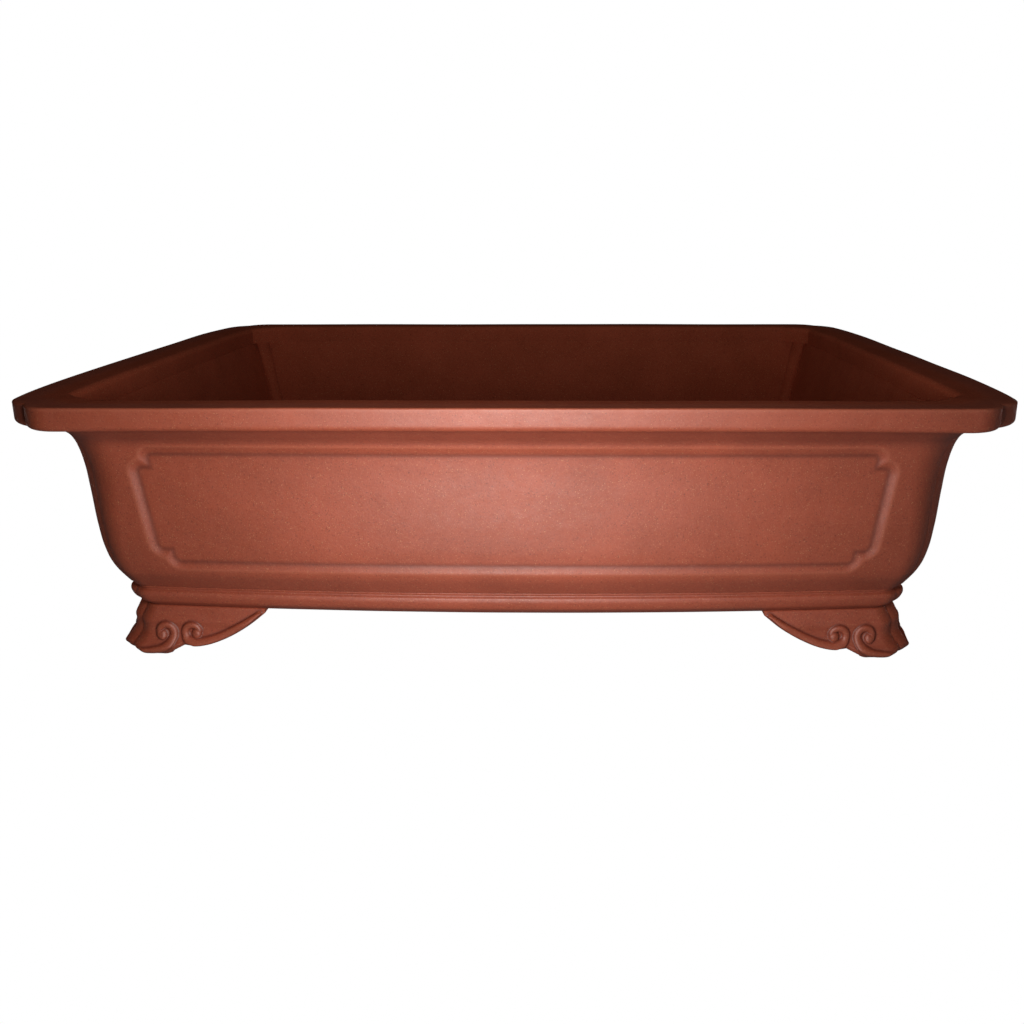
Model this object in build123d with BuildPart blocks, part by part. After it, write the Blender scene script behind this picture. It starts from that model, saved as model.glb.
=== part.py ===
"""Rectangular bonsai pot of unglazed clay, luted together from slabs, strips and moulded feet.

Frame: +X along the length, +Y to the back, +Z up, origin on the ground under the middle of the pot.
Every outline is given by its inset, the distance in from the upright planes through the rim's ends.
"""
import math
import os
from dataclasses import dataclass

from build123d import *

# ---- Overall sizes, in millimetres ----
LENGTH = 410.0             # between the planes at the rim's corners; the end rims bow out past them
DEPTH = 320.0
HEIGHT = 120.0
END_RIM_BOW = 5.0          # how far the two end rims bow out, while the long ones are straight

# ---- Heights of the horizontal seams ----
BASE = 24.5                # underside of floor and belt, top of the feet
FLOOR_TOP = 34.0           # top of floor and belt, bottom of the walls
RIM_BASE = 110.0           # underside of the rim, top of the walls
COIL_TOP = 117.0           # top of the seam coils inside the corners

# ---- Walls: (height, inset of the outer face near its ends) ----
WALL_FACE = [
    (FLOOR_TOP, 29.3),
    (36.5, 27.8),
    (40.5, 25.6),
    (44.5, 23.9),
    (52.0, 21.9),
    (62.0, 20.4),
    (78.0, 18.8),
    (90.0, 17.4),
    (96.5, 16.1),
    (100.5, 14.9),
    (103.5, 13.4),
    (106.5, 10.6),
    (RIM_BASE, 7.0),
]
INNER_AT_RIM = 19.0        # inset of the inner face under the rim
INNER_AT_FLOOR = 38.0      # inset of the inner face at the floor
SEAM_CHAMFER = 6.0         # cut along the inner corner seam, which the coil covers

# ---- Rounded lobes at the ends of a wall: length along the face, and how far the cusp stands in ----
LOBE_AT_RIM = 26.0
LOBE_AT_FLOOR = 12.0
NOTCH_AT_RIM = 9.0
NOTCH_AT_FLOOR = 5.0

# ---- Recessed panel on every wall ----
PANEL_MARGIN = 43.6        # from the rim's end to the panel's side
PANEL_LOW = 44.5
PANEL_HIGH = 100.5
PANEL_TAPER = 6.6          # how much the panel's side leans in towards its bottom
PANEL_LOBE = 6.0           # radius of the stepped corner lobes
PANEL_DEPTH = 1.4
PANEL_REACH = 50.0         # the cutter starts this far in from the rim's plane

# ---- Rim strips ----
RIM_WIDTH = 19.0
RIM_LOBE = 22.0
RIM_NOTCH = 9.5
RIM_LOWER_RADIUS = 3.0
RIM_UPPER_RADIUS = 1.4
RIM_INNER_RADIUS = 2.8

# ---- Belt: (height, inset of the outer face near its ends) ----
BELT_FACE = [
    (BASE, 33.4),
    (25.4, 32.0),
    (26.8, 30.6),
    (28.6, 29.6),
    (30.2, 29.3),
    (31.8, 29.7),
    (33.0, 30.3),
    (FLOOR_TOP, 31.0),
]
BELT_LOBE = 12.0
BELT_NOTCH = 5.0
FLOOR_INSET = 38.0         # inset of the floor slab's edge, where the belt is luted on
FLOOR_CHAMFER = 14.0

# ---- Floor holes ----
DRAIN_RADIUS = 13.0
DRAIN_SPACING = 170.0
WIRE_HOLE_RADIUS = 2.5
WIRE_SPACING_X = 250.0
WIRE_SPACING_Y = 110.0

COIL_RISE = 2.4            # how far a seam coil stands out from the chamfered corner

# ---- Feet: (height, inset of the outer face) of a wing, which flares to its toe ----
FOOT_FACE = [
    (0.0, 33.2),
    (1.2, 30.4),
    (2.4, 28.3),
    (3.8, 26.9),
    (6.0, 26.4),
    (8.3, 27.9),
    (11.0, 29.4),
    (14.0, 29.9),
    (17.3, 29.8),
    (20.5, 31.0),
    (BASE, 32.6),
]
FOOT_INNER = 45.0          # inset of the wing's back face
FOOT_LENGTH = 97.5         # from the rim's end to the wing's tip
FOOT_LOBE = 12.0
FOOT_NOTCH = 5.5
FOOT_SWING = 4.0           # how far the wing's tip stands out, to follow the bowed belt

# ---- Outline and scrolls of a wing: (distance from the rim's end, height) ----
TOE_BOTTOM = (45.0, 0.0)   # where the outer lobe meets the ground
LOBE_CUSP = (55.6, 6.3)    # nick between the outer and the inner lobe
INNER_LOBE = [(FOOT_LENGTH, BASE), (90.0, 18.5), (74.0, 6.2), (61.5, 5.8)]
INNER_ROLL = [(92.5, 22.8), (86.5, 18.2), (73.5, 8.2), (61.5, 8.2)]
INNER_TURN = [(61.5, 8.2), (57.9, 9.3), (56.6, 12.4)]
INNER_CURL = [(56.6, 12.4), (60.5, 16.3), (64.0, 12.9)]
INNER_EYE = (62.2, 12.0)
OUTER_ROLL = [(31.0, 3.2), (48.0, 4.6), (52.4, 11.9)]
OUTER_CURL = [(52.4, 11.9), (48.6, 16.0), (44.9, 13.0)]
OUTER_EYE = (47.0, 10.9)
SCROLL_WIDTH = 3.2
SCROLL_RELIEF = 1.3
SCROLL_EYE_RADIUS = 2.1


@dataclass
class Side:
    """One side of the pot, drawn as if it were the front and then turned into its place."""

    name: str
    half: float            # half of the side's length over the rim
    reach: float           # from the pot's middle to the rim's plane on this side
    right: tuple           # the direction to the right, seen from outside
    outward: tuple
    base_bow: float        # outward bow of the wall's face at the floor
    top_bow: float         # outward bow of the wall's face under the rim
    rim_bow: float
    inner_bow: float       # outward bow of the inner face

    def plan(self, height):
        """Horizontal sketch plane: x to the right, y inwards."""
        return Plane(origin=(0, 0, height), x_dir=self.right, z_dir=(0, 0, 1))

    def elevation(self, inset):
        """Upright sketch plane seen from outside, x to the right and y up."""
        distance = self.reach - inset
        origin = tuple(distance * step for step in self.outward)
        return Plane(origin=origin, x_dir=self.right, z_dir=self.outward)


FRONT = Side("front", LENGTH / 2, DEPTH / 2, (1, 0, 0), (0, -1, 0), 7.5, 1.0, 0.0, 0.0)
BACK = Side("back", LENGTH / 2, DEPTH / 2, (-1, 0, 0), (0, 1, 0), 7.5, 1.0, 0.0, 0.0)
LEFT = Side("left", DEPTH / 2, LENGTH / 2, (0, -1, 0), (-1, 0, 0), 4.0, 4.0, END_RIM_BOW, 2.0)
RIGHT = Side("right", DEPTH / 2, LENGTH / 2, (0, 1, 0), (1, 0, 0), 4.0, 4.0, END_RIM_BOW, 2.0)
SIDES = [FRONT, BACK, LEFT, RIGHT]
CORNERS = {
    "front_left": (-1, -1),
    "front_right": (1, -1),
    "back_left": (-1, 1),
    "back_right": (1, 1),
}


def from_floor_to_rim(height, at_floor, at_rim):
    """A wall dimension that changes evenly with height."""
    rise = (height - FLOOR_TOP) / (RIM_BASE - FLOOR_TOP)
    return at_floor + (at_rim - at_floor) * rise


def draw_bowed_line(end_x, y, bow):
    """Line from -end_x to end_x that bows towards negative y."""
    if bow > 0:
        ThreePointArc((-end_x, y), (0, y - bow), (end_x, y))
    else:
        Line((-end_x, y), (end_x, y))


def draw_strip(side, outer, inner, lobe, notch, bow, back_bow=0.0, back_chamfer=0.0):
    """Plan of one side: bowed face, a rounded lobe to the cusp at each end, mitres, back."""
    face = outer - side.reach
    back = inner - side.reach
    flat = side.half - outer - lobe
    cusp_x = side.half - outer - notch
    cusp_y = face + notch
    mitre = back_chamfer / 2
    seam = (side.half - inner - mitre, back + mitre)
    back_x = side.half - inner - back_chamfer
    turn = 2 * math.atan(bow / flat)
    draw_bowed_line(flat, face, bow)
    draw_bowed_line(back_x, back, back_bow)
    for sign in (-1, 1):
        cusp = (sign * cusp_x, cusp_y)
        TangentArc((sign * flat, face), cusp, tangent=(sign * math.cos(turn), math.sin(turn)))
        Line(cusp, (sign * seam[0], seam[1]))
        if back_chamfer > 0:
            Line((sign * seam[0], seam[1]), (sign * back_x, back))


def draw_wall_plan(side, row, depth=0.0):
    """Plan of a wall at one row of WALL_FACE, or of its core under a layer of the given depth."""
    height, outer = row
    inner = from_floor_to_rim(height, INNER_AT_FLOOR, INNER_AT_RIM)
    lobe = from_floor_to_rim(height, LOBE_AT_FLOOR, LOBE_AT_RIM)
    notch = from_floor_to_rim(height, NOTCH_AT_FLOOR, NOTCH_AT_RIM)
    bow = from_floor_to_rim(height, side.base_bow, side.top_bow)
    if depth > 0:
        draw_strip(side, outer + depth, 2 * PANEL_REACH, lobe, notch, bow)
    else:
        draw_strip(side, outer, inner, lobe, notch, bow, side.inner_bow, SEAM_CHAMFER)


def draw_stepped_corner(x, y, across, up):
    """Two quarter-round lobes that meet at an inward cusp, at a panel corner (x, y)."""
    lobe = PANEL_LOBE
    cusp = (x - across * lobe, y - up * lobe)
    TangentArc((x - across * 2 * lobe, y), cusp, tangent=(across, 0))
    TangentArc((x, y - up * 2 * lobe), cusp, tangent=(0, up))


def draw_panel(side):
    """Outline of the recessed panel in elevation."""
    top_x = side.half - PANEL_MARGIN
    low_x = top_x - PANEL_TAPER
    step = 2 * PANEL_LOBE
    Line((step - top_x, PANEL_HIGH), (top_x - step, PANEL_HIGH))
    Line((step - low_x, PANEL_LOW), (low_x - step, PANEL_LOW))
    for across in (-1, 1):
        draw_stepped_corner(across * top_x, PANEL_HIGH, across, 1)
        draw_stepped_corner(across * low_x, PANEL_LOW, across, -1)
        Line((across * top_x, PANEL_HIGH - step), (across * low_x, PANEL_LOW + step))


def build_panel_cutter(side):
    """The shallow layer of clay that is missing inside the panel outline."""
    with BuildPart() as core:
        for row in WALL_FACE:
            with BuildSketch(side.plan(row[0])):
                with BuildLine():
                    draw_wall_plan(side, row, PANEL_DEPTH)
                make_face()
        loft()
    with BuildPart() as cutter:
        with BuildSketch(side.elevation(PANEL_REACH)):
            with BuildLine():
                draw_panel(side)
            make_face()
        extrude(amount=PANEL_REACH)
        add(core.part, mode=Mode.SUBTRACT)
    return cutter.part


def build_wall(side):
    cutter = build_panel_cutter(side)
    with BuildPart() as wall:
        for row in WALL_FACE:
            with BuildSketch(side.plan(row[0])):
                with BuildLine():
                    draw_wall_plan(side, row)
                make_face()
        loft()
        add(cutter, mode=Mode.SUBTRACT)
    return wall.part


def build_rim(side):
    with BuildPart() as rim:
        with BuildSketch(side.plan(RIM_BASE)):
            with BuildLine():
                bow = side.rim_bow
                draw_strip(side, 0, RIM_WIDTH, RIM_LOBE, RIM_NOTCH, bow, side.inner_bow, SEAM_CHAMFER)
            make_face()
        extrude(amount=HEIGHT - RIM_BASE)
        outwards = Axis((0, 0, 0), side.outward)
        fillet(rim.edges().group_by(Axis.Z)[-1].sort_by(outwards)[-3:], RIM_UPPER_RADIUS)
        fillet(rim.edges().group_by(Axis.Z)[0].sort_by(outwards)[-3:], RIM_LOWER_RADIUS)
        fillet(rim.edges().group_by(Axis.Z)[-1].sort_by(outwards)[0], RIM_INNER_RADIUS)
    return rim.part


def build_belt(side):
    with BuildPart() as belt:
        for height, inset in BELT_FACE:
            with BuildSketch(side.plan(height)):
                with BuildLine():
                    bow = side.base_bow
                    draw_strip(
                        side, inset, FLOOR_INSET, BELT_LOBE, BELT_NOTCH, bow, back_chamfer=FLOOR_CHAMFER
                    )
                make_face()
        loft()
    return belt.part


def build_floor():
    with BuildPart() as floor:
        with BuildSketch(Plane.XY.offset(BASE)):
            slab = Rectangle(LENGTH - 2 * FLOOR_INSET, DEPTH - 2 * FLOOR_INSET)
            chamfer(slab.vertices(), FLOOR_CHAMFER)
            with GridLocations(DRAIN_SPACING, 0, 2, 1):
                Circle(DRAIN_RADIUS, mode=Mode.SUBTRACT)
            with GridLocations(WIRE_SPACING_X, WIRE_SPACING_Y, 2, 2):
                Circle(WIRE_HOLE_RADIUS, mode=Mode.SUBTRACT)
        extrude(amount=FLOOR_TOP - BASE)
    return floor.part


def build_coil(sign_x, sign_y):
    """Low round coil pressed over the upright seam inside one corner."""
    middle = SEAM_CHAMFER / 2 + COIL_RISE * math.sqrt(0.5)
    with BuildPart() as coil:
        for height in (FLOOR_TOP, RIM_BASE, COIL_TOP):
            inset = from_floor_to_rim(min(height, RIM_BASE), INNER_AT_FLOOR, INNER_AT_RIM)
            x = sign_x * (LENGTH / 2 - inset)
            y = sign_y * (DEPTH / 2 - inset)
            on_long_wall = (x - sign_x * SEAM_CHAMFER, y)
            on_short_wall = (x, y - sign_y * SEAM_CHAMFER)
            crown = (x - sign_x * middle, y - sign_y * middle)
            with BuildSketch(Plane.XY.offset(height)):
                with BuildLine():
                    Line(on_long_wall, on_short_wall)
                    ThreePointArc(on_long_wall, crown, on_short_wall)
                make_face()
        loft(ruled=True)
    return coil.part


def from_end(*points):
    """Points given by their distance from the rim's left end, as sketch points of the front."""
    return [(distance - FRONT.half, height) for distance, height in points]


def draw_wing_plan(outer):
    """Plan of the left front wing at one height: swung face, corner lobe, mitre, flat back."""
    side = FRONT
    face = outer - side.reach
    back = FOOT_INNER - side.reach
    tip_x = FOOT_LENGTH - side.half
    flat_x = outer + FOOT_LOBE - side.half
    cusp = (outer + FOOT_NOTCH - side.half, face + FOOT_NOTCH)
    swing = math.atan(FOOT_SWING / (tip_x - flat_x))
    Polyline(cusp, (FOOT_INNER - side.half, back), (tip_x, back), (tip_x, face - FOOT_SWING), (flat_x, face))
    TangentArc((flat_x, face), cusp, tangent=(-math.cos(swing), math.sin(swing)))


def draw_wing_elevation():
    """Outline of the left front wing: long inner lobe, nick, deep outer lobe, corner."""
    inner_lobe = from_end(*INNER_LOBE)
    cusp, toe, corner, top = from_end(LOBE_CUSP, TOE_BOTTOM, (0, 0), (0, BASE))
    Bezier(*inner_lobe)
    TangentArc(inner_lobe[-1], cusp, tangent=(-1, 0))
    TangentArc(toe, cusp, tangent=(1, 0))
    Polyline(toe, corner, top, inner_lobe[0])


def draw_inner_scroll():
    """Centre line of the roll along the inner lobe, up and over into its curl."""
    Bezier(*from_end(*INNER_ROLL))
    ThreePointArc(*from_end(*INNER_TURN))
    ThreePointArc(*from_end(*INNER_CURL))


def draw_outer_scroll():
    """Centre line of the roll along the outer lobe, up and over into its curl."""
    ThreePointArc(*from_end(*OUTER_ROLL))
    ThreePointArc(*from_end(*OUTER_CURL))


def build_wing():
    """Left front wing: flared and cut to its outline, with two raised scrolls."""
    with BuildPart() as scrolls:
        for height, inset in FOOT_FACE:
            with BuildSketch(Plane.XY.offset(height)):
                with BuildLine():
                    draw_wing_plan(inset - SCROLL_RELIEF)
                make_face()
        loft()
        with BuildSketch(FRONT.elevation(FOOT_INNER)):
            with BuildLine():
                draw_inner_scroll()
            trace(line_width=SCROLL_WIDTH)
            with BuildLine():
                draw_outer_scroll()
            trace(line_width=SCROLL_WIDTH)
            with Locations(*from_end(INNER_EYE, OUTER_EYE)):
                Circle(SCROLL_EYE_RADIUS)
        extrude(amount=FOOT_INNER, mode=Mode.INTERSECT)
    with BuildPart() as wing:
        for height, inset in FOOT_FACE:
            with BuildSketch(Plane.XY.offset(height)):
                with BuildLine():
                    draw_wing_plan(inset)
                make_face()
        loft()
        add(scrolls.part)
        with BuildSketch(FRONT.elevation(FOOT_INNER)):
            with BuildLine():
                draw_wing_elevation()
            make_face()
        extrude(amount=FOOT_INNER, mode=Mode.INTERSECT)
    return wing.part


def turn_to_side_wing(wing):
    """The matching wing round the front left corner, mirrored in the corner's mitre plane."""
    mitre = Plane(origin=(-LENGTH / 2, -DEPTH / 2, 0), x_dir=(1, 1, 0), z_dir=(1, -1, 0))
    with BuildPart() as side_wing:
        mirror(wing, about=mitre)
    return side_wing.part


def place_wing(wing, sign_x, sign_y):
    """Mirror a front left wing to another corner."""
    with BuildPart() as placed:
        add(wing)
        if sign_x > 0:
            mirror(about=Plane.YZ, mode=Mode.REPLACE)
        if sign_y > 0:
            mirror(about=Plane.XZ, mode=Mode.REPLACE)
    return placed.part


def write(part, name):
    part.label = name
    export_step(part, f"parts/{name}.step")


os.makedirs("parts", exist_ok=True)
write(build_floor(), "floor_slab")
for side in SIDES:
    write(build_wall(side), f"{side.name}_wall")
    write(build_rim(side), f"rim_{side.name}")
    write(build_belt(side), f"belt_{side.name}")
front_wing = build_wing()
side_wing = turn_to_side_wing(front_wing)
for corner, signs in CORNERS.items():
    write(build_coil(*signs), f"seam_coil_{corner}")
    write(place_wing(front_wing, *signs), f"foot_{corner}_long_wing")
    write(place_wing(side_wing, *signs), f"foot_{corner}_short_wing")
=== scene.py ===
"""Looks of the bonsai pot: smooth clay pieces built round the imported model, in zisha clay.

Shapes are worked out in millimetres, one side of the pot at a time, as if it were the front: x to
the right, y to the back, z up, with the pot's middle at x = y = 0. A point's inset is its distance in
from the upright plane that the side's straight rim would lie in.
"""
import math

import bpy
import numpy as np
from mathutils import Matrix, Vector


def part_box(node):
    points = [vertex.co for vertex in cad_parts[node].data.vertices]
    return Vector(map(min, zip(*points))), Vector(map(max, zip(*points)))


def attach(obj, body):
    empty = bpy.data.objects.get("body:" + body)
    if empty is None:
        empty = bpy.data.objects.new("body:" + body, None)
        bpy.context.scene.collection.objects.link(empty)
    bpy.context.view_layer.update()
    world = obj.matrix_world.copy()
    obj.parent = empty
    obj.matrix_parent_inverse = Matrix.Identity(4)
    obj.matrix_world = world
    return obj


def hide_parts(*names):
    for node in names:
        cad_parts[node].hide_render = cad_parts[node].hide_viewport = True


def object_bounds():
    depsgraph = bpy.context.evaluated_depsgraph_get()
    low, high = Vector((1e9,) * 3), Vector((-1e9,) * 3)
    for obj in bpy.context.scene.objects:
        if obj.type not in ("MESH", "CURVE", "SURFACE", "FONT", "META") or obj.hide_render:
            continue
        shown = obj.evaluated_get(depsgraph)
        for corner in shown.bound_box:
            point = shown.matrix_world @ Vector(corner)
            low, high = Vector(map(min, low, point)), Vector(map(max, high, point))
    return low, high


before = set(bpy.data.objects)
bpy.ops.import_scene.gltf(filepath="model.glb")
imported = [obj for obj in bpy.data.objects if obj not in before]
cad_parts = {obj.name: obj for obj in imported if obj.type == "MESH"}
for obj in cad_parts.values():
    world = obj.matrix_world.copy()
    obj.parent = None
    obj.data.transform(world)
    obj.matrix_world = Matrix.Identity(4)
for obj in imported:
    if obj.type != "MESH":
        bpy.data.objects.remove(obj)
cad_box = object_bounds()

MM = 0.001

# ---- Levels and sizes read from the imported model, in millimetres ----
END_RIM_BOW = 5.0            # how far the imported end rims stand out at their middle
LENGTH = (cad_box[1].x - cad_box[0].x) / MM - 2 * END_RIM_BOW
DEPTH = (cad_box[1].y - cad_box[0].y) / MM
HEIGHT = cad_box[1].z / MM
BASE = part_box("floor_slab")[0].z / MM
FLOOR_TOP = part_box("floor_slab")[1].z / MM
RIM_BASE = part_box("rim_front")[0].z / MM
COIL_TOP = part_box("seam_coil_front_left")[1].z / MM
FOOT_SEAM = BASE - 1.2       # the belt hangs a little below the floor, down to the feet

# ---- Profiles: (height, inset) ----
WALL_FACE = [
    (FLOOR_TOP, 29.3), (36.5, 27.8), (40.5, 25.6), (44.5, 23.9), (52.0, 21.9), (62.0, 20.4), (78.0, 18.8),
    (90.0, 17.4), (96.5, 16.1), (100.5, 14.9), (103.5, 13.4), (106.5, 10.6), (RIM_BASE, 7.0),
]
BELT_FACE = [
    (FOOT_SEAM, 33.4), (24.4, 32.0), (26.0, 30.6), (28.2, 29.6), (30.2, 29.3), (31.4, 29.7), (32.0, 30.4),
    (32.5, 30.5), (33.1, 30.1), (33.6, 30.2), (FLOOR_TOP, 30.9),
]
FOOT_FACE = [
    (0.0, 32.4), (1.2, 29.4), (2.4, 27.5), (3.8, 26.4), (6.0, 26.2), (8.3, 27.8), (11.0, 29.4), (14.0, 29.9),
    (17.3, 29.8), (20.2, 31.0), (FOOT_SEAM, 32.4),
]
INNER_AT_RIM = 19.0          # insets of the walls' inner face
INNER_AT_FLOOR = 38.0
FLOOR_INSET = 38.0           # inset of the belt's hidden back
FOOT_INNER = 45.0            # inset of the feet's back

# ---- Corners: (length of the lobe along the face, how far the cusp stands in) ----
WALL_CORNER_AT_RIM = (26.0, 9.0)
WALL_CORNER_AT_FLOOR = (12.0, 5.0)
RIM_CORNER = (22.0, 9.5)
BELT_CORNER = (12.0, 5.0)
FOOT_CORNER = (12.0, 5.5)
SEAM_CORNER = (6.0, 3.0)
FLOOR_CORNER = (14.0, 7.0)

# ---- Rim ----
RIM_WIDTH = 19.0
RIM_BOW_POWER = 6            # the end rims are nearly straight, then turn in towards the corners
RIM_BAND = 7.4               # inset of the line where the flat inner band turns to the outer shoulder
RIM_SHOULDER = 0.15          # how far the shoulder falls from that line to the edge
RIM_RADII = (2.8, 0.9, 2.8)  # at the inner, upper and lower edge
RIM_INNER_CORNER = (14.0, 7.0)
RIM_DROOP = 0.5              # how far the lower edge hangs down at the corner lobes
RIM_SAG = 0.15               # how much lower the rim's top is at its ends than at its middle

# ---- Sunk panel: margin from the rim's end, levels, lean of its ends, size of its corner lobes ----
PANEL_MARGIN = 43.6
PANEL_LOW = 44.5
PANEL_HIGH = 100.5
PANEL_TAPER = 6.6
PANEL_LOBE = 6.0
PANEL_DEPTH = 1.4
PANEL_BEVEL = 3.4

# ---- Foot wing: (distance from the rim's end, height) ----
FOOT_SWING = 4.0             # how far the wing's tip swings outwards
TIP_CUT = 2.2                # the wing stops this short of where its lobe would meet the belt
FOOT_EDGE = 1.6              # radius of the wing's lower edge
TOE = 42.0                   # distance where the outer lobe leaves the ground
LOBE_ROUNDNESS = 1.35        # 1 for a straight climb from the toe to the cusp, more for a round one
LOBE_CUSP = (55.6, 6.3)
INNER_LOBE = [(95.8, FOOT_SEAM), (89.5, 18.0), (74.0, 6.2), (61.5, 5.8)]
INNER_ROLL = [(91.2, 21.8), (86.0, 18.0), (73.5, 8.0), (61.5, 8.1)]
OUTER_ROLL = [(29.0, 5.0), (39.0, 2.6), (50.0, 3.6), (51.7, 11.0)]
INNER_RING = (60.5, 12.4)
OUTER_RING = (47.9, 12.0)
INNER_EYE = (62.3, 12.0)
OUTER_EYE = (46.3, 11.0)
EYE_RADIUS = 2.3
RING_RADII = (3.9, 2.9)      # where a roll enters its curl, and where it ends
ROLL_HALF_WIDTH = 2.1
ROLL_HEIGHT = 1.6

# ---- Coils over the inner seams ----
COIL_WIDTH = 6.0
COIL_RISE = 2.4
DIAGONAL = math.sqrt(0.5)


class Side:
    """One side of the pot: half its length, its distance from the middle, its turn about Z, and its bows.

    The bows are how far the wall's base and top, the rim's outer edge and the inner face stand out at
    the middle. rim_swell moves the rim's outer edge out along its whole straight length.
    """

    def __init__(self, name, half, reach, turn, base_bow, top_bow, rim_bow, inner_bow, rim_swell):
        self.name = name
        self.half = half
        self.reach = reach
        self.turn = turn
        self.base_bow = base_bow
        self.top_bow = top_bow
        self.rim_bow = rim_bow
        self.inner_bow = inner_bow
        self.rim_swell = rim_swell

    def place(self, points):
        """Side coordinates in millimetres to the shared frame in metres."""
        c = round(math.cos(self.turn))
        s = round(math.sin(self.turn))
        x, y, z = points[..., 0], points[..., 1], points[..., 2]
        return np.stack([c * x - s * y, s * x + c * y, z], axis=-1) * MM


SIDES = [
    Side("front", LENGTH / 2, DEPTH / 2, 0.0, 7.5, 1.0, 0.0, 0.0, 0.0),
    Side("right", DEPTH / 2, LENGTH / 2, math.pi / 2, 4.0, 4.0, 4.3, 2.0, 1.5),
    Side("back", LENGTH / 2, DEPTH / 2, math.pi, 7.5, 1.0, 0.0, 0.0, 0.0),
    Side("left", DEPTH / 2, LENGTH / 2, -math.pi / 2, 4.0, 4.0, 4.3, 2.0, 1.5),
]


def smooth_curve(table, at):
    """Smooth curve through (position, value) rows, with the slopes of a Catmull-Rom spline."""
    x = np.array([row[0] for row in table])
    y = np.array([row[1] for row in table])
    slope = np.gradient(y, x)
    at = np.clip(at, x[0], x[-1])
    i = np.clip(np.searchsorted(x, at, side="right") - 1, 0, len(x) - 2)
    width = x[i + 1] - x[i]
    t = (at - x[i]) / width
    return (
        y[i] * (2 * t**3 - 3 * t**2 + 1)
        + slope[i] * width * (t**3 - 2 * t**2 + t)
        + y[i + 1] * (3 * t**2 - 2 * t**3)
        + slope[i + 1] * width * (t**3 - t**2)
    )


def smoothstep(value):
    """0 below 0, 1 above 1, and a smooth climb between them."""
    t = np.clip(value, 0.0, 1.0)
    return t * t * (3 - 2 * t)


def from_floor_to_rim(height, at_floor, at_rim):
    """A wall dimension that changes evenly with height."""
    rise = np.clip((height - FLOOR_TOP) / (RIM_BASE - FLOOR_TOP), 0, 1)
    return at_floor + (at_rim - at_floor) * rise


# ---- Sections: one row per point of a closed loop, with what its outline in plan needs ----


def section(inset, height, corner, rounded, bow):
    """Columns: inset, height, lobe length, notch, 1 for a round lobe or 0 for a straight cut, bow."""
    inset = np.atleast_1d(np.asarray(inset, float))
    columns = [inset, height, corner[0], corner[1], rounded, bow]
    return np.stack([np.broadcast_to(np.asarray(c, float), inset.shape) for c in columns], axis=1)


def between(last, first, count):
    """Rows that lead from one stretch of a loop to the next."""
    t = np.linspace(0, 1, count + 2)[1:-1, None]
    return last * (1 - t) + first * t


def closed_loop(*stretches):
    """Stretches of a loop joined up; a number between two asks for that many rows to bridge them."""
    rows = []
    for i, item in enumerate(stretches):
        if isinstance(item, int):
            following = stretches[(i + 1) % len(stretches)]
            rows.append(between(rows[-1][-1], following[0], item))
        else:
            rows.append(item)
    return np.concatenate(rows)


def stations(side, corner, inset, step, corner_steps):
    """Places along a side, mitre to mitre: -1 to 1 along the face, and -1 to 1 round the lobes."""
    count = int(round(2 * (side.half - inset - corner[0]) / step))
    lobe = np.linspace(0, 1, corner_steps + 1)[1:]
    along = np.concatenate([-np.ones(corner_steps), np.linspace(-1, 1, count + 1), np.ones(corner_steps)])
    around = np.concatenate([-lobe[::-1], np.zeros(count + 1), lobe])
    return along, around


def sweep(side, loop, along, around, power=2):
    """Points of the loop at every station, in side coordinates: an array of (station, row, xyz).

    The faces bow out by bow * (1 - |m|^power), where m runs from -1 to 1 between the lobes.
    """
    inset, height, lobe, notch, rounded, bow = loop.T
    m = along[:, None]
    t = np.abs(around)[:, None]
    flat = side.half - inset - lobe
    start = np.arctan(power * bow / flat)
    chord = np.hypot(lobe - notch, notch)
    half_turn = np.maximum(np.arctan2(notch, lobe - notch) - start, 1e-3)
    radius = chord / (2 * np.sin(half_turn))
    angle = start + 2 * half_turn * t
    out = rounded * radius * (np.sin(angle) - np.sin(start)) + (1 - rounded) * t * (lobe - notch)
    back = rounded * radius * (np.cos(start) - np.cos(angle)) + (1 - rounded) * t * notch
    x = m * flat + np.sign(around)[:, None] * out
    y = inset - side.reach - bow * (1 - np.abs(m) ** power) + back
    return np.stack([x, y, np.broadcast_to(height, x.shape)], axis=-1)


# ---- Meshes ----


def skin(grid):
    """Faces that close a (station, row, xyz) grid into a tube with capped ends, facing outwards."""
    count, rows = grid.shape[:2]
    station = np.arange(count - 1)[:, None] * rows
    row = np.arange(rows)[None, :]
    following = (row + 1) % rows
    quads = [station + row, station + rows + row, station + rows + following, station + following]
    quads = np.stack(quads, axis=-1).reshape(-1, 4)
    a, b, c, d = np.moveaxis(grid.reshape(-1, 3)[quads], 1, 0)
    volume = np.sum(a * np.cross(b, c)) + np.sum(a * np.cross(c, d))
    first_cap = list(range(rows))
    last_cap = [(count - 1) * rows + r for r in reversed(range(rows))]
    faces = quads.tolist() + [first_cap, last_cap]
    if volume < 0:
        faces = [face[::-1] for face in faces]
    return faces


def mark_sharp(mesh, count, rows, sharp_rows):
    """Sharp edges round both ends of a skinned grid and along the given rows."""
    ends = np.empty(len(mesh.edges) * 2, int)
    mesh.edges.foreach_get("vertices", ends)
    station, row = np.divmod(ends.reshape(-1, 2), rows)
    at_end = (station[:, 0] == station[:, 1]) & np.isin(station[:, 0], (0, count - 1))
    creased = (row[:, 0] == row[:, 1]) & np.isin(row[:, 0], sharp_rows)
    mesh.edges.foreach_set("use_edge_sharp", (at_end | creased).tolist())


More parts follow.
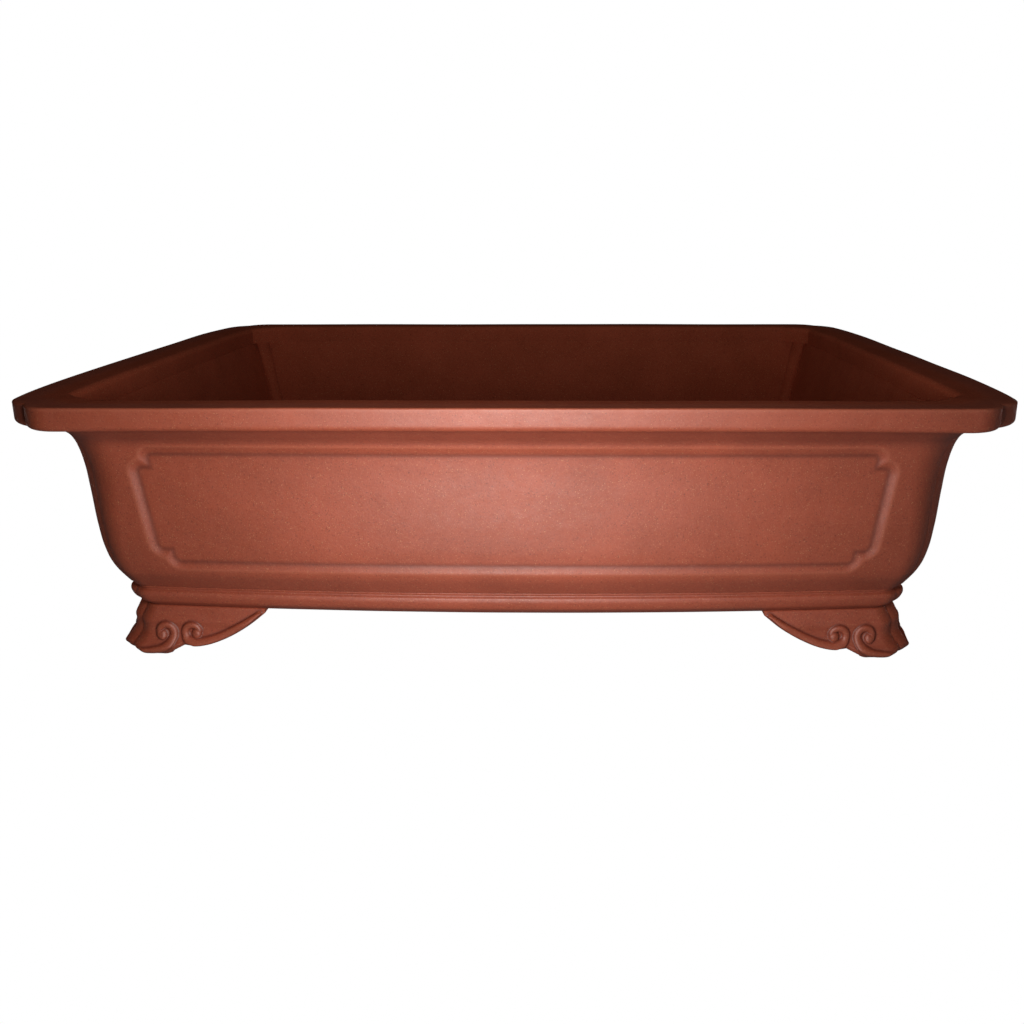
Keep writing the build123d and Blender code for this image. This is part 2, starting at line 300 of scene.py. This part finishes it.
def add_piece(name, grid, material, node, sharp_rows=(), painted_light_and_shade=0.0, burnish=1.0):
    """Makes a closed mesh from a (station, row, xyz) grid in metres and lets it stand for a CAD node.

    The painted-light values are above 0 where a highlight is painted on edges and below 0 where shade is
    painted in creases; burnish is 1 on the polished outside.
    """
    count, rows = grid.shape[:2]
    mesh = bpy.data.meshes.new(name)
    mesh.from_pydata(grid.reshape(-1, 3).tolist(), [], skin(grid))
    mesh.polygons.foreach_set("use_smooth", [True] * len(mesh.polygons))
    mark_sharp(mesh, count, rows, sharp_rows)
    for label, values in (("painted_light_and_shade", painted_light_and_shade), ("burnish", burnish)):
        values = np.broadcast_to(values, (count, rows)).astype(np.float32)
        attribute = mesh.attributes.new(label, "FLOAT", "POINT")
        attribute.data.foreach_set("value", values.ravel())
    mesh.update()
    piece = bpy.data.objects.new(name, mesh)
    bpy.context.scene.collection.objects.link(piece)
    mesh.materials.append(material)
    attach(piece, "root")
    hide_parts(node)


def wave(points, length, seed):
    """Smooth random swell between about -1 and 1, with the given wavelength in millimetres."""
    rng = np.random.default_rng(seed)
    total = np.zeros(points.shape[:-1])
    for _ in range(6):
        direction = rng.normal(size=3)
        direction *= 2 * math.pi / length / np.linalg.norm(direction) * rng.uniform(0.7, 1.4)
        total += np.sin(points @ direction + rng.uniform(0, 2 * math.pi))
    return total / 3.0


def rounded_box(x, z, half_x, low, high, radius):
    """Signed distance to a rectangle with rounded corners, negative inside."""
    qx = np.abs(x) - half_x + radius
    qz = np.abs(z - (low + high) / 2) - (high - low) / 2 + radius
    return np.hypot(np.maximum(qx, 0), np.maximum(qz, 0)) + np.minimum(np.maximum(qx, qz), 0) - radius


def panel_distance(side, x, z):
    """Signed distance to the panel's outline, whose corners are two lobes with a cusp between them."""
    top = side.half - PANEL_MARGIN
    lean = top - PANEL_TAPER * np.clip((PANEL_HIGH - z) / (PANEL_HIGH - PANEL_LOW), 0, 1)
    x = x * top / lean
    wide = rounded_box(x, z, top, PANEL_LOW + PANEL_LOBE, PANEL_HIGH - PANEL_LOBE, PANEL_LOBE)
    tall = rounded_box(x, z, top - PANEL_LOBE, PANEL_LOW, PANEL_HIGH, PANEL_LOBE)
    return np.minimum(wide, tall)


def bell(value, centre, width):
    """1 at the centre, falling smoothly to 0 over about two widths on either side."""
    return np.exp(-((value - centre) / width) ** 2)


def build_wall(side, material):
    """Wall slab: outer face with its sunk panel, plain inner face, mitred ends."""
    heights = np.linspace(RIM_BASE, FLOOR_TOP, 110)
    lobe = from_floor_to_rim(heights, WALL_CORNER_AT_FLOOR[0], WALL_CORNER_AT_RIM[0])
    notch = from_floor_to_rim(heights, WALL_CORNER_AT_FLOOR[1], WALL_CORNER_AT_RIM[1])
    bow = from_floor_to_rim(heights, side.base_bow, side.top_bow)
    outer = section(smooth_curve(WALL_FACE, heights), heights, (lobe, notch), 1, bow)
    rising = np.linspace(FLOOR_TOP, RIM_BASE, 14)
    inner_inset = from_floor_to_rim(rising, INNER_AT_FLOOR, INNER_AT_RIM)
    inner = section(inner_inset, rising, SEAM_CORNER, 0, side.inner_bow)
    loop = closed_loop(outer, 2, inner, 2)
    along, around = stations(side, WALL_CORNER_AT_FLOOR, inset=22, step=0.85, corner_steps=24)
    points = sweep(side, loop, along, around)
    face = slice(0, len(outer))
    x, z = points[:, face, 0], points[:, face, 2]
    inwards = 1 - smoothstep(np.abs(around) * 1.5)[:, None]
    distance = panel_distance(side, x, z)
    sunk = PANEL_DEPTH * np.clip(-distance / PANEL_BEVEL, 0, 1) ** 0.8
    swell = 0.12 * wave(side.place(points[:, face]) / MM, length=55, seed=3)
    points[:, face, 1] += sunk + swell * inwards
    painted_light_and_shade = np.zeros(points.shape[:2])
    # Painted highlight just outside the panel's edge, painted shade at the foot of its bevel inside.
    painted_light_and_shade[:, face] = bell(distance, 0.4, 0.7) - 0.8 * bell(distance, -PANEL_BEVEL, 1.0)
    painted_light_and_shade[:, face] -= 0.6 * smoothstep((z - 99) / 6)      # painted shade up under the rim
    painted_light_and_shade[:, face] -= 0.35 * smoothstep((43 - z) / 4)     # and painted shade down towards the belt
    burnish = np.zeros(points.shape[:2])
    burnish[:, face] = 1
    creases = (0, len(outer) - 1, len(outer) + 2, len(outer) + 1 + len(rising))
    node = f"{side.name}_wall"
    add_piece(f"clay_{node}", side.place(points), material, node, creases, painted_light_and_shade, burnish)


def arc(centre, radius, start, end, count):
    """Points of an arc in (inset, height), angles in degrees with 0 towards the pot's middle."""
    angle = np.radians(np.linspace(start, end, count))
    return np.stack([centre[0] + radius * np.cos(angle), centre[1] + radius * np.sin(angle)], axis=1)


def straight(start, end, count):
    """Evenly spaced points of a line in (inset, height), without its two ends."""
    share = np.linspace(0, 1, count + 2)[1:-1, None]
    return np.array(start) * (1 - share) + np.array(end) * share


def build_rim(side, material):
    """Lip strip: flat inner band, sloping shoulder, upright face and plain underside."""
    inner, upper, lower = RIM_RADII
    shoulder = HEIGHT - RIM_SHOULDER
    outline = np.concatenate([
        arc((RIM_WIDTH - inner, HEIGHT - inner), inner, 0, 90, 10),
        straight((RIM_WIDTH - inner, HEIGHT), (RIM_BAND, HEIGHT), 8),
        straight((RIM_BAND, HEIGHT), (upper, shoulder), 8),
        arc((upper, shoulder - upper), upper, 86, 180, 8),
        straight((0, shoulder - upper), (0, RIM_BASE + lower), 5),
        arc((lower, RIM_BASE + lower), lower, 180, 268, 12),
        straight((lower, RIM_BASE), (RIM_WIDTH, RIM_BASE), 8),
        np.array([(RIM_WIDTH, RIM_BASE)]),
    ])
    share = np.clip(outline[:, 0] / RIM_WIDTH, 0, 1)
    lobe = RIM_CORNER[0] + (RIM_INNER_CORNER[0] - RIM_CORNER[0]) * share
    notch = RIM_CORNER[1] + (RIM_INNER_CORNER[1] - RIM_CORNER[1]) * share
    bow = side.rim_bow + (side.inner_bow - side.rim_bow) * share
    loop = np.stack([outline[:, 0], outline[:, 1], lobe, notch, 1 - share, bow], axis=1)
    along, around = stations(side, RIM_CORNER, inset=0, step=1.4, corner_steps=24)
    points = sweep(side, loop, along, around, RIM_BOW_POWER)
    inwards = 1 - smoothstep(np.abs(around))[:, None]
    upper_half = smoothstep((points[..., 2] - RIM_BASE) / (HEIGHT - RIM_BASE))
    middle = (1 - along**2)[:, None]
    placed = side.place(points) / MM
    lift = RIM_SAG * (middle - 1) + 0.1 * (wave(placed, length=90, seed=5) - 1) * inwards
    points[..., 2] += lift * upper_half
    outermost = 1 - smoothstep(outline[:, 0] / 9)
    near_corner = smoothstep((np.abs(along) - 0.7) / 0.3)[:, None]
    points[..., 2] -= RIM_DROOP * (1 - upper_half) * outermost * near_corner
    points[..., 1] += 0.12 * wave(placed, length=70, seed=11) * inwards
    points[..., 1] -= side.rim_swell * (1 - share) * (1 - around**2)[:, None]
    height = np.broadcast_to(outline[:, 1], points.shape[:2])
    inset = np.broadcast_to(outline[:, 0], points.shape[:2])
    # Painted highlight along the edge where the shoulder meets the upright face.
    painted_light_and_shade = 0.8 * bell(height, shoulder - 0.7, 0.7) * (inset < 2.5)
    burnish = 1 - smoothstep((inset - 4) / 8)
    node = f"rim_{side.name}"
    add_piece(f"clay_{node}", side.place(points), material, node, (len(outline) - 1,), painted_light_and_shade, burnish)


def build_belt(side, material):
    """Belt strip: a round moulding with a fine bead above it."""
    heights = np.linspace(FLOOR_TOP, FOOT_SEAM, 50)
    outer = section(smooth_curve(BELT_FACE, heights), heights, BELT_CORNER, 1, side.base_bow)
    inner = section([FLOOR_INSET] * 2, [FOOT_SEAM, FLOOR_TOP], FLOOR_CORNER, 0, 0)
    loop = closed_loop(outer, 1, inner, 1)
    along, around = stations(side, BELT_CORNER, inset=30, step=1.2, corner_steps=20)
    points = sweep(side, loop, along, around)
    face = slice(0, len(outer))
    inwards = 1 - smoothstep(np.abs(around))[:, None]
    points[:, face, 1] += 0.08 * wave(side.place(points[:, face]) / MM, length=40, seed=17) * inwards
    painted_light_and_shade = np.zeros(points.shape[1])
    # Painted highlight on the fine bead, painted shade in the groove under it.
    painted_light_and_shade[face] = 0.15 * bell(heights, 33.4, 0.5) - 0.3 * bell(heights, 32.2, 0.6)
    painted_light_and_shade[face] -= 0.7 * smoothstep((26.6 - heights) / 1.6)      # painted shade where it turns under
    creases = (0, len(outer) - 1, len(outer) + 1, len(outer) + 2)
    node = f"belt_{side.name}"
    add_piece(f"clay_{node}", side.place(points), material, node, creases, painted_light_and_shade)


# ---- Feet ----


def bezier(corners, count):
    """Points of a cubic curve through its first and last corner."""
    t = np.linspace(0, 1, count)[:, None]
    a, b, c, d = (np.array(corner) for corner in corners)
    return a * (1 - t) ** 3 + 3 * b * t * (1 - t) ** 2 + 3 * c * t**2 * (1 - t) + d * t**3


def curl(centre, start, end, count):
    """Points of a curl that tightens as it turns between two angles in degrees."""
    angle = np.radians(np.linspace(start, end, count))
    radius = np.linspace(*RING_RADII, count)
    return np.stack([centre[0] + radius * np.cos(angle), centre[1] + radius * np.sin(angle)], axis=1)


def distance_to(curve, x, z):
    """Distance from every point to a polyline, and how far along it the nearest place is, 0 to 1."""
    nearest = np.full(x.shape, np.inf)
    place = np.zeros(x.shape)
    for i, (start, end) in enumerate(zip(curve[:-1], curve[1:])):
        step = end - start
        share = ((x - start[0]) * step[0] + (z - start[1]) * step[1]) / (step @ step)
        share = np.clip(share, 0, 1)
        gap = np.hypot(x - start[0] - share * step[0], z - start[1] - share * step[1])
        place = np.where(gap < nearest, (i + share) / (len(curve) - 1), place)
        nearest = np.minimum(gap, nearest)
    return nearest, place


def lower_edge(distance):
    """Height of the wing's lower outline at a distance from the rim's end."""
    inner = bezier(INNER_LOBE, 60)[::-1]
    share = np.linspace(0, 1, 12)
    span = LOBE_CUSP[0] - TOE
    outer = np.stack([TOE + span * share, LOBE_CUSP[1] * share**LOBE_ROUNDNESS], axis=1)
    curve = np.concatenate([outer, inner])
    return np.interp(distance, curve[:, 0], curve[:, 1])


def scroll_relief(x, z):
    """How far the rolled borders and their curls stand out, and how much shade is painted in the creases
    beside them.
    """
    inner = np.concatenate([bezier(INNER_ROLL, 28), curl(INNER_RING, start=235, end=15, count=26)])
    outer = np.concatenate([bezier(OUTER_ROLL, 26), curl(OUTER_RING, start=-10, end=200, count=24)])
    relief = np.zeros(x.shape)
    crease_shade = np.zeros(x.shape)
    for curve, eye in ((inner, INNER_EYE), (outer, OUTER_EYE)):
        gap, place = distance_to(curve, x, z)
        # A roll swells from a thin start and tapers towards the end of its curl.
        width = ROLL_HALF_WIDTH * (0.45 + 0.55 * smoothstep(place * 4)) * (1 - 0.25 * place)
        roll = ROLL_HEIGHT * np.sqrt(np.clip(1 - (gap / width) ** 2, 0, 1))
        relief = np.maximum(relief, roll)
        crease_shade = np.maximum(crease_shade, bell(gap, width, 0.6))
        gap = np.hypot(x - eye[0], z - eye[1])
        knob = 1.25 * ROLL_HEIGHT * np.sqrt(np.clip(1 - (gap / EYE_RADIUS) ** 2, 0, 1))
        relief = np.maximum(relief, knob)
        crease_shade = np.maximum(crease_shade, bell(gap, EYE_RADIUS, 0.5))
    return relief, crease_shade


def wing_rows(bottom):
    """Loop round the wing at every station, from its lower outline there: face, edge, underside, back, top.

    Returns insets, heights, each row's share of the way from face to back, and how many rows are face.
    """
    bottom = bottom[:, None]
    edge = np.minimum(FOOT_EDGE, (FOOT_SEAM - bottom) * 0.4)
    height = FOOT_SEAM + (bottom + edge - FOOT_SEAM) * np.linspace(0, 1, 84)
    inset = smooth_curve(FOOT_FACE, height)
    turn = np.radians(np.linspace(0, 90, 8))[1:]
    edge_height = bottom + edge - edge * np.sin(turn)
    lifted = smoothstep(bottom / 3)
    edge_start = inset[:, -1:] * lifted + smooth_curve(FOOT_FACE, edge_height) * (1 - lifted)
    edge_inset = edge_start + edge * (1 - np.cos(turn))
    face_end = edge_inset[:, -1:]
    quarters = np.linspace(0, 1, 5)[1:]
    under_inset = face_end + (FOOT_INNER - face_end) * quarters
    under_height = np.broadcast_to(bottom, under_inset.shape)
    back_height = bottom + (FOOT_SEAM - bottom) * quarters
    back_inset = np.full(back_height.shape, FOOT_INNER)
    closing = np.linspace(1, 0, 4)[1:-1]
    top_inset = inset[:, :1] + (FOOT_INNER - inset[:, :1]) * closing
    top_height = np.full(top_inset.shape, FOOT_SEAM)
    insets = np.concatenate([inset, edge_inset, under_inset, back_inset, top_inset], axis=1)
    heights = np.concatenate([height, edge_height, under_height, back_height, top_height], axis=1)
    face_rows = inset.shape[1] + edge_inset.shape[1]
    share = np.zeros(insets.shape)
    share[:, face_rows:] = (insets[:, face_rows:] - face_end) / (FOOT_INNER - face_end)
    share[:, -len(closing):] = closing
    return insets, heights, np.clip(share, 0, 1), face_rows


def wing_grid():
    """Front left long wing: a (station, row, xyz) grid in millimetres, and its painted highlight and shade.
    """
    tip = INNER_LOBE[0][0] - TIP_CUT
    waist_inset = FOOT_FACE[5][1]
    flat_start = waist_inset + FOOT_CORNER[0]
    # 150 steps along the face from the tip to the lobe, then 16 round the corner lobe to the mitre.
    along = np.concatenate([np.linspace(1, 0, 151), np.zeros(16)])[:, None]
    around = np.concatenate([np.zeros(150), np.linspace(0, 1, 17)])[:, None]
    bottom = lower_edge(flat_start + along[:, 0] * (tip - flat_start))
    insets, heights, share, face_rows = wing_rows(bottom)
    lobe = FOOT_CORNER[0] * (1 - share)
    notch = FOOT_CORNER[1] * (1 - share)
    flat_x = insets + lobe
    start = np.arctan(FOOT_SWING / (tip - flat_x)) * (1 - share)
    run = np.maximum(lobe - notch, 1e-6)
    half_turn = np.maximum(np.arctan2(notch, run) - start, 1e-3)
    radius = np.hypot(run, notch) / (2 * np.sin(half_turn))
    angle = start + 2 * half_turn * around
    x = flat_x + along * (tip - flat_x) - radius * (np.sin(angle) - np.sin(start))
    y = insets - FOOT_SWING * along * (1 - share) + radius * (np.cos(start) - np.cos(angle))
    face = slice(0, face_rows)
    relief, crease_shade = scroll_relief(x[:, face], heights[:, face])
    away = 1 - smoothstep(around * 2)
    below = smoothstep((FOOT_SEAM - 0.6 - heights[:, face]) / 1.5)
    y[:, face] -= relief * away * below
    painted_light_and_shade = np.zeros(x.shape)
    # Painted highlight on the tops of the rolls, painted shade in the creases beside them.
    painted_light_and_shade[:, face] = (0.5 * relief / ROLL_HEIGHT - 0.9 * crease_shade) * away
    return np.stack([x - LENGTH / 2, y - DEPTH / 2, heights], axis=-1), painted_light_and_shade


def build_feet(material):
    """Eight wings: the front left pair, mirrored to the other corners, with a little swell in the clay."""
    long_wing, painted_light_and_shade = wing_grid()
    corner = np.array([-LENGTH / 2, -DEPTH / 2, 0])
    short_wing = (long_wing - corner)[..., [1, 0, 2]] + corner
    for depth_name, sign_y in (("front", 1), ("back", -1)):
        for side_name, sign_x in (("left", 1), ("right", -1)):
            for kind, wing in (("long", long_wing), ("short", short_wing)):
                node = f"foot_{depth_name}_{side_name}_{kind}_wing"
                grid = wing * (sign_x, sign_y, 1)
                swell = 0.1 * wave(grid, length=22, seed=23) * (painted_light_and_shade != 0)
                grid = grid + swell[..., None] * (sign_x, sign_y, 0)
                add_piece(f"clay_{node}", grid * MM, material, node, painted_light_and_shade=painted_light_and_shade)


def build_coils(material):
    """Hand-rolled coils over the upright inner seams, a little uneven in width and rise."""
    heights = np.linspace(FLOOR_TOP, COIL_TOP - 0.3, 90)
    inset = from_floor_to_rim(heights, INNER_AT_FLOOR, INNER_AT_RIM)
    sweep_angle = np.radians(np.linspace(0, 180, 15))
    for depth_name, sign_y in (("front", -1), ("back", 1)):
        for side_name, sign_x in (("left", -1), ("right", 1)):
            rng = np.random.default_rng(31 + sign_x + 3 * sign_y)
            phase = rng.uniform(0, 2 * math.pi, 3)
            uneven = np.sin(heights / 9 + phase[0]) + 0.6 * np.sin(heights / 4.3 + phase[1])
            width = COIL_WIDTH * DIAGONAL * (0.97 + 0.05 * uneven)
            rise = COIL_RISE * (1 + 0.08 * np.sin(heights / 6 + phase[2]))
            across = width[:, None] * np.cos(sweep_angle)
            out = rise[:, None] * np.sin(sweep_angle)
            middle = inset[:, None] + COIL_WIDTH / 2
            x = LENGTH / 2 - middle - (out + across) * DIAGONAL
            y = DEPTH / 2 - middle - (out - across) * DIAGONAL
            z = np.broadcast_to(heights[:, None], x.shape)
            grid = np.stack([x * sign_x, y * sign_y, z], axis=-1)
            node = f"seam_coil_{depth_name}_{side_name}"
            add_piece(f"clay_{node}", grid * MM, material, node, (0, len(sweep_angle) - 1), burnish=0.0)


# ---- Clay ----

BODY_COLOURS = ((0.35, 0.062, 0.027), (0.44, 0.082, 0.038))
GRAIN_COLOUR = (0.52, 0.125, 0.055)
DARK_SPECK = (0.14, 0.026, 0.014)
PALE_SPECK = (0.62, 0.25, 0.12)
# The next two colours are painted light: a highlight for raised edges and shade for creases.
EDGE_HIGHLIGHT_COLOUR = (0.60, 0.17, 0.09)
CREASE_SHADE_COLOUR = (0.13, 0.020, 0.010)


def clay_material():
    """Unglazed red-brown stoneware: mottled body, fine grain, pale and dark specks, a painted highlight on
    edges and painted shade in creases.
    """
    material = bpy.data.materials.new("zisha_clay")
    material.use_nodes = True
    nodes = material.node_tree.nodes
    links = material.node_tree.links
    shader = nodes["Principled BSDF"]
    place = nodes.new("ShaderNodeTexCoord").outputs["Object"]

    def noise(scale, detail, roughness=0.5):
        node = nodes.new("ShaderNodeTexNoise")
        node.inputs["Scale"].default_value = scale
        node.inputs["Detail"].default_value = detail
        node.inputs["Roughness"].default_value = roughness
        links.new(place, node.inputs["Vector"])
        return node.outputs["Fac"]

    def stored(name):
        node = nodes.new("ShaderNodeAttribute")
        node.attribute_name = name
        return node.outputs["Fac"]

    def span(value, low, high, out_low, out_high):
        node = nodes.new("ShaderNodeMapRange")
        node.inputs["From Min"].default_value = low
        node.inputs["From Max"].default_value = high
        node.inputs["To Min"].default_value = out_low
        node.inputs["To Max"].default_value = out_high
        links.new(value, node.inputs["Value"])
        return node.outputs["Result"]

    def blend(factor, first, colour):
        node = nodes.new("ShaderNodeMix")
        node.data_type = "RGBA"
        # For colours, the mix node's inputs are number 6 and 7 and its result is output 2.
        if isinstance(first, tuple):
            node.inputs[6].default_value = (*first, 1)
        else:
            links.new(first, node.inputs[6])
        node.inputs[7].default_value = (*colour, 1)
        links.new(factor, node.inputs[0])
        return node.outputs[2]

    def add_up(first, second):
        node = nodes.new("ShaderNodeMath")
        node.operation = "ADD"
        links.new(first, node.inputs[0])
        links.new(second, node.inputs[1])
        return node.outputs[0]

    mottled = blend(span(noise(38, 5, 0.6), 0.32, 0.68, 0, 1), *BODY_COLOURS)
    grained = blend(span(noise(900, 3, 0.7), 0.35, 0.7, 0, 0.4), mottled, GRAIN_COLOUR)
    dark = blend(span(noise(1500, 2, 0.6), 0.6, 0.7, 0, 0.65), grained, DARK_SPECK)
    pale = blend(span(noise(1900, 1, 0.5), 0.665, 0.72, 0, 0.7), dark, PALE_SPECK)
    painted_light_and_shade = stored("painted_light_and_shade")
    # Painted highlight on raised edges and painted shade in creases, from the stored values.
    highlighted = blend(span(painted_light_and_shade, 0, 1, 0, 0.35), pale, EDGE_HIGHLIGHT_COLOUR)
    shaded = blend(span(painted_light_and_shade, -1, 0, 0.75, 0), highlighted, CREASE_SHADE_COLOUR)
    links.new(shaded, shader.inputs["Base Color"])
    burnish = stored("burnish")
    roughness = add_up(span(noise(260, 4), 0.3, 0.7, -0.05, 0.05), span(burnish, 0, 1, 0.85, 0.52))
    links.new(roughness, shader.inputs["Roughness"])
    links.new(span(burnish, 0, 1, 0.15, 1.0), shader.inputs["Specular IOR Level"])
    shader.inputs["IOR"].default_value = 1.5
    grain = add_up(span(noise(1300, 3, 0.7), 0, 1, 0, 0.00012), span(noise(240, 4, 0.6), 0, 1, 0, 0.00025))
    bump = nodes.new("ShaderNodeBump")
    bump.inputs["Strength"].default_value = 0.55
    bump.inputs["Distance"].default_value = 1.0
    links.new(grain, bump.inputs["Height"])
    links.new(bump.outputs["Normal"], shader.inputs["Normal"])
    return material


clay = clay_material()
for side in SIDES:
    build_wall(side, clay)
    build_rim(side, clay)
    build_belt(side, clay)
build_feet(clay)
build_coils(clay)
floor_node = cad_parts["floor_slab"]
floor_node.data.materials.clear()
floor_node.data.materials.append(clay)

# ---- Stage: white to the camera, but grey or dark to the light that falls on the pot ----

FLOOR_HALF_SIZE = 6.0
FLOOR_GREY = 0.35
AMBIENT = 0.01

CAMERA_PLACE = (0.01970, -0.53909, 0.19060)
CAMERA_PITCH = 0.28966       # downwards, in radians
CAMERA_YAW = -0.01977        # to the right
CAMERA_ROLL = -0.00245
CAMERA_LENS = 34.63
CAMERA_SHIFT = -0.02653      # the view is framed a little off centre


def white_to_camera(tree, output, other):
    """Shows plain white to the camera, while other rays meet the given shader."""
    white = tree.nodes.new("ShaderNodeEmission")
    seen = tree.nodes.new("ShaderNodeLightPath")
    mix = tree.nodes.new("ShaderNodeMixShader")
    tree.links.new(seen.outputs["Is Camera Ray"], mix.inputs[0])
    tree.links.new(other, mix.inputs[1])
    tree.links.new(white.outputs[0], mix.inputs[2])
    tree.links.new(mix.outputs[0], tree.nodes[output].inputs["Surface"])


def build_stage():
    size = FLOOR_HALF_SIZE
    corners = [(-size, -size, 0), (size, -size, 0), (size, size, 0), (-size, size, 0)]
    mesh = bpy.data.meshes.new("floor")
    mesh.from_pydata(corners, [], [(0, 1, 2, 3)])
    floor = bpy.data.objects.new("floor", mesh)
    bpy.context.scene.collection.objects.link(floor)
    paint = bpy.data.materials.new("pale_floor")
    paint.use_nodes = True
    shader = paint.node_tree.nodes["Principled BSDF"]
    shader.inputs["Base Color"].default_value = (FLOOR_GREY, FLOOR_GREY, FLOOR_GREY, 1)
    shader.inputs["Roughness"].default_value = 0.9
    shader.inputs["Specular IOR Level"].default_value = 0.0
    white_to_camera(paint.node_tree, "Material Output", shader.outputs[0])
    mesh.materials.append(paint)


def build_camera():
    level = Vector((math.sin(CAMERA_YAW), math.cos(CAMERA_YAW), 0))
    forward = level * math.cos(CAMERA_PITCH) - Vector((0, 0, math.sin(CAMERA_PITCH)))
    right = Vector((math.cos(CAMERA_YAW), -math.sin(CAMERA_YAW), 0))
    up = right.cross(forward)
    rolled_right = right * math.cos(CAMERA_ROLL) + up * math.sin(CAMERA_ROLL)
    rolled_up = up * math.cos(CAMERA_ROLL) - right * math.sin(CAMERA_ROLL)
    turn = Matrix((rolled_right, rolled_up, -forward)).transposed()
    data = bpy.data.cameras.new("camera")
    data.sensor_width = 36.0
    data.lens = CAMERA_LENS
    data.shift_x = CAMERA_SHIFT
    camera = bpy.data.objects.new("camera", data)
    camera.matrix_world = Matrix.Translation(CAMERA_PLACE) @ turn.to_4x4()
    bpy.context.scene.collection.objects.link(camera)
    bpy.context.scene.camera = camera


def build_world():
    """A very weak warm ambient light."""
    world = bpy.data.worlds.new("studio")
    world.use_nodes = True
    ambient = world.node_tree.nodes["Background"]
    ambient.inputs["Color"].default_value = (1, 0.98, 0.96, 1)
    ambient.inputs["Strength"].default_value = AMBIENT
    white_to_camera(world.node_tree, "World Output", ambient.outputs[0])
    bpy.context.scene.world = world


def add_light(name, place, aim, width, height, power, colour, glossy=False):
    """Soft rectangular light; only a glossy one shows as a sheen on the clay."""
    data = bpy.data.lights.new(name, "AREA")
    data.shape = "RECTANGLE"
    data.size = width
    data.size_y = height
    data.energy = power
    data.color = colour
    light = bpy.data.objects.new(name, data)
    light.location = place
    light.rotation_euler = (Vector(aim) - Vector(place)).to_track_quat("-Z", "Y").to_euler()
    light.visible_camera = False
    light.visible_glossy = glossy
    bpy.context.scene.collection.objects.link(light)


build_stage()
build_camera()
build_world()
add_light("key", (-0.005, -0.345, 0.152), (0, -0.14, 0.085), 0.12, 0.07, 0.38, (1, 0.98, 0.95), True)
add_light("fill_low", (-0.01, -0.35, 0.042), (0, -0.14, 0.075), 0.12, 0.04, 0.15, (1, 0.97, 0.93), True)
add_light("window", (0.42, -0.50, 0.17), (0.14, -0.14, 0.09), 0.3, 0.18, 0.2, (0.4, 0.7, 1))
add_light("above", (0, 0.05, 1.2), (0, 0.02, 0), 0.6, 0.6, 0.8, (1, 0.97, 0.94))
add_light("back_low", (0.15, 0.75, 0.05), (0, 0.15, 0.06), 0.6, 0.08, 4.0, (1, 0.98, 0.96))
add_light("side_left", (-0.80, 0.35, 0.05), (-0.2, 0.05, 0.06), 0.4, 0.08, 1.6, (1, 0.98, 0.96))
add_light("side_right", (0.80, 0.35, 0.05), (0.2, 0.05, 0.06), 0.4, 0.08, 1.8, (1, 0.94, 0.96))
bpy.context.scene.view_settings.view_transform = "Standard"
